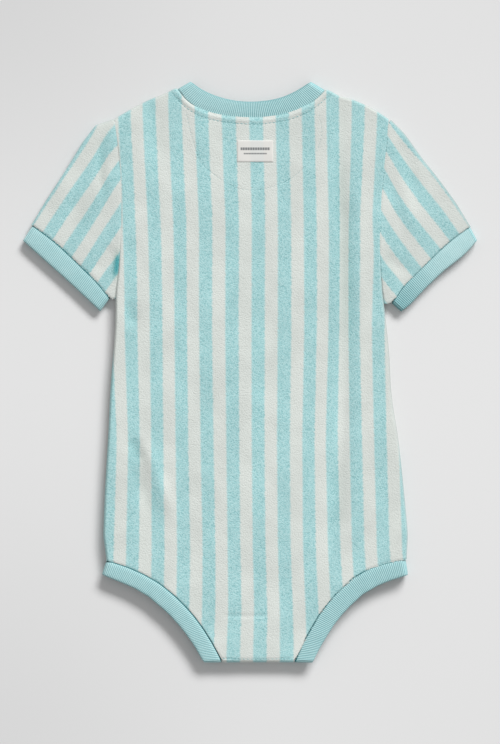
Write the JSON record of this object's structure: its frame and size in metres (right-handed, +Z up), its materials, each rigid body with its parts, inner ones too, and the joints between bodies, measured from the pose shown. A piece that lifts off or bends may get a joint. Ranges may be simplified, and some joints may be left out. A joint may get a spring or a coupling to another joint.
{
  "type": "baby romper laid flat",
  "caption": "Short-sleeved baby romper lying flat on its front, in striped towelling with ribbed bands at neck, arms and legs and a snap crotch.",
  "frame": {"origin": "middle of the laid-out garment, on the surface it lies on", "axes": "+X across the back to the right as seen from above, +Y from the crotch to the neck, +Z up out of the garment's back"},
  "size_m": [0.3505, 0.4475, 0.0081],
  "materials": {
    "towelling": "looped cotton towelling in even aqua and cream stripes",
    "rib": "one-by-one cotton rib, aqua",
    "label": "plain woven tape, off-white",
    "snap": "satin metal ring snap"
  },
  "bodies": {
    "root": {"back_panel": "towelling", "front_panel": "towelling", "sleeve_left": "towelling", "sleeve_right": "towelling", "neck_rib": "rib", "cuff_left": "rib", "cuff_right": "rib", "leg_rib_left": "rib", "leg_rib_right": "rib", "label": "label", "snap_1": "snap", "snap_2": "snap", "snap_3": "snap"}
  },
  "joints": []
}
